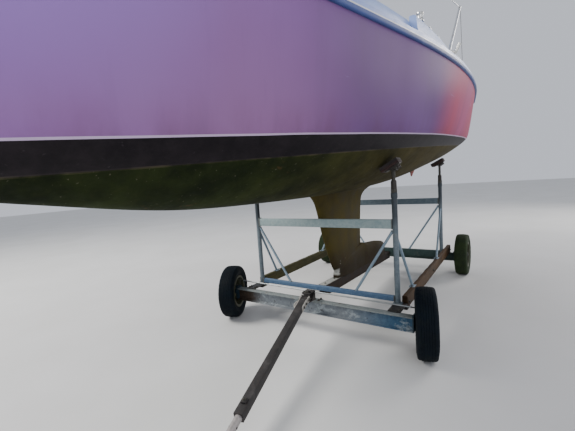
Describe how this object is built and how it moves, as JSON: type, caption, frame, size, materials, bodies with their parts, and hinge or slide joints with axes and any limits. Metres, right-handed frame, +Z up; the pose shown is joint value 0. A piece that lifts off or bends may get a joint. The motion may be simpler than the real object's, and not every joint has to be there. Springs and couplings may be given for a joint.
{
  "type": "sailing yacht on a yard cradle",
  "caption": "Small fin-keeled sailing yacht standing on a four-wheeled steel and timber yard cradle with a drawbar; lifting rudder, sliding and hinged hatches, mast stowed on deck.",
  "frame": {"origin": "middle of the bounding box in length and width, on the ground under the tyres", "axes": "+X towards the port side, +Y towards the stern, +Z up; the bow is at -Y"},
  "size_m": [2.4666, 9.009, 3.3235],
  "materials": {
    "hull_gelcoat": "off-white gelcoat topsides, dark boot stripe, dark green-black antifouling below, chalky and stained",
    "deck_gelcoat": "white gelcoat, weathered",
    "hatch_gelcoat": "white gelcoat, weathered",
    "window_acrylic": "smoke-tinted acrylic",
    "teak": "weathered varnished hardwood",
    "strake_rubber": "dark blue-grey fendering with a pale top edge",
    "keel_iron": "antifouled cast iron, brown and rusty towards the foot",
    "worn_galvanised": "galvanised steel with dull grey-blue paint, stained brown at the joints",
    "beam_primer": "red-brown primer, pale galvanised strip on top",
    "rusty_steel": "dark rusty steel",
    "weathered_timber": "weathered, oily sawn timber",
    "pad_rubber": "black rubber-faced board",
    "tyre": "perished black road tyre",
    "wheel_steel": "pressed steel wheel, dull silver, rusty at the nuts",
    "stainless": "polished stainless steel tube and fittings",
    "cleat_alloy": "anodised alloy",
    "mast_alloy": "satin anodised alloy",
    "webbing": "blue webbing",
    "rudder_primer": "painted plywood, red-brown antifouling",
    "bracket_ply": "weathered plywood pad on a steel bracket"
  },
  "bodies": {
    "yacht_and_cradle": {"boom": "mast_alloy", "boom_strop": "webbing", "braces": "worn_galvanised", "cabin_windows": "window_acrylic", "centre_beam": "beam_primer", "chainplates": "stainless", "cleats": "cleat_alloy", "coachroof": "deck_gelcoat", "coamings": "deck_gelcoat", "deck": "deck_gelcoat", "drawbar_bracket": "worn_galvanised", "fore_hatch_coaming": "deck_gelcoat", "front_axle": "worn_galvanised", "front_base_plates": "worn_galvanised", "guard_wires": "stainless", "hatch_runners": "teak", "hull": "hull_gelcoat", "keel": "keel_iron", "locker_hinges": "stainless", "lower_rails": "worn_galvanised", "mast": "mast_alloy", "mast_crutches": "weathered_timber", "outboard_bracket": "bracket_ply", "posts": "worn_galvanised", "pulpit": "stainless", "rear_axle": "worn_galvanised", "rubbing_strakes": "strake_rubber", "rudder_gudgeons": "stainless", "screw_jacks": "worn_galvanised", "side_planks": "weathered_timber", "stanchions": "stainless", "stem_fitting": "stainless", "support_pads": "pad_rubber", "toe_rails": "deck_gelcoat", "upper_rails": "worn_galvanised", "washboards": "teak", "winches": "stainless"},
    "knuckle_front_port": {"knuckle_front_port": "worn_galvanised"},
    "knuckle_front_starboard": {"knuckle_front_starboard": "worn_galvanised"},
    "tie_rod": {"tie_rod": "worn_galvanised"},
    "wheel_front_port": {"wheel_front_port": "wheel_steel", "tyre_front_port": "tyre"},
    "wheel_front_starboard": {"wheel_front_starboard": "wheel_steel", "tyre_front_starboard": "tyre"},
    "wheel_rear_port": {"wheel_rear_port": "wheel_steel", "tyre_rear_port": "tyre"},
    "wheel_rear_starboard": {"wheel_rear_starboard": "wheel_steel", "tyre_rear_starboard": "tyre"},
    "drawbar_swivel": {"drawbar_swivel": "rusty_steel"},
    "drawbar": {"drawbar": "rusty_steel", "drawbar_extension": "worn_galvanised"},
    "rudder": {"rudder_stock": "rudder_primer"},
    "rudder_blade": {"rudder_blade": "rudder_primer"},
    "tiller": {"tiller": "teak"},
    "companionway_hatch": {"companionway_hatch": "hatch_gelcoat"},
    "fore_hatch": {"fore_hatch": "hatch_gelcoat"},
    "locker_lid_port": {"locker_lid_port": "hatch_gelcoat"},
    "locker_lid_starboard": {"locker_lid_starboard": "hatch_gelcoat"}
  },
  "joints": [
    {"name": "front_port_wheel_spin", "type": "hinge", "parent": "knuckle_front_port", "child": "wheel_front_port", "pos_m": [1.04838, -0.30188, 0.29], "axis": [0.9677, 0.2521, 0], "continuous": true},
    {"name": "front_starboard_wheel_spin", "type": "hinge", "parent": "knuckle_front_starboard", "child": "wheel_front_starboard", "pos_m": [-1.04599, -0.3341, 0.29], "axis": [0.9198, 0.3923, 0], "continuous": true},
    {"name": "rear_port_wheel_spin", "type": "hinge", "parent": "yacht_and_cradle", "child": "wheel_rear_port", "pos_m": [1.014, 2.27052, 0.29], "axis": [1, 0, 0], "continuous": true},
    {"name": "rear_starboard_wheel_spin", "type": "hinge", "parent": "yacht_and_cradle", "child": "wheel_rear_starboard", "pos_m": [-1.145, 2.27052, 0.29], "axis": [1, 0, 0], "continuous": true},
    {"name": "knuckle_front_port_steer", "type": "hinge", "parent": "yacht_and_cradle", "child": "knuckle_front_port", "pos_m": [1, -0.31448, 0.29], "axis": [0, 0, 1], "range_deg": [-45, 10]},
    {"name": "knuckle_front_starboard_steer", "type": "hinge", "parent": "yacht_and_cradle", "child": "knuckle_front_starboard", "pos_m": [-1, -0.31448, 0.29], "axis": [0, 0, 1], "range_deg": [-45, 10]},
    {"name": "tie_rod_swing", "type": "hinge", "parent": "knuckle_front_port", "child": "tie_rod", "pos_m": [0.97661, -0.23798, 0.378], "axis": [0, 0, 1], "range_deg": [-10, 45]},
    {"name": "drawbar_swing", "type": "hinge", "parent": "yacht_and_cradle", "child": "drawbar_swivel", "pos_m": [-0.0041, -0.4147, 0.394], "axis": [0, 0, 1], "range_deg": [-45, 10]},
    {"name": "drawbar_lift", "type": "hinge", "parent": "drawbar_swivel", "child": "drawbar", "pos_m": [0.014, -0.48748, 0.394], "axis": [-0.9704, -0.2413, 0], "range_deg": [0, 28]},
    {"name": "rudder_steer", "type": "hinge", "parent": "yacht_and_cradle", "child": "rudder", "pos_m": [0, 3.38608, 1.76682], "axis": [0, 0.1142, 0.9935], "range_deg": [-35, 35]},
    {"name": "rudder_blade_lift", "type": "hinge", "parent": "rudder", "child": "rudder_blade", "pos_m": [0, 3.58597, 1.62304], "axis": [1, 0, 0], "range_deg": [-125, 0]},
    {"name": "tiller_lift", "type": "hinge", "parent": "rudder", "child": "tiller", "pos_m": [0, 3.59173, 2.74976], "axis": [-1, 0, 0], "range_deg": [0, 16]},
    {"name": "companionway_slide", "type": "slide", "parent": "yacht_and_cradle", "child": "companionway_hatch", "axis": [0, -1, 0], "range_m": [0, 0.5]},
    {"name": "fore_hatch_hinge", "type": "hinge", "parent": "yacht_and_cradle", "child": "fore_hatch", "pos_m": [0, -2.90748, 2.69], "axis": [1, 0, 0], "range_deg": [0, 60]},
    {"name": "locker_lid_port_hinge", "type": "hinge", "parent": "yacht_and_cradle", "child": "locker_lid_port", "pos_m": [0.774, 1.47552, 2.364], "axis": [0, 1, 0], "range_deg": [0, 80]},
    {"name": "locker_lid_starboard_hinge", "type": "hinge", "parent": "yacht_and_cradle", "child": "locker_lid_starboard", "pos_m": [-0.774, 1.47552, 2.364], "axis": [0, -1, 0], "range_deg": [0, 80]}
  ],
  "couplings": [
    {"joint": "knuckle_front_port_steer", "follows": "drawbar_swing", "ratio": 1},
    {"joint": "knuckle_front_starboard_steer", "follows": "drawbar_swing", "ratio": 1},
    {"joint": "tie_rod_swing", "follows": "drawbar_swing", "ratio": -1}
  ]
}
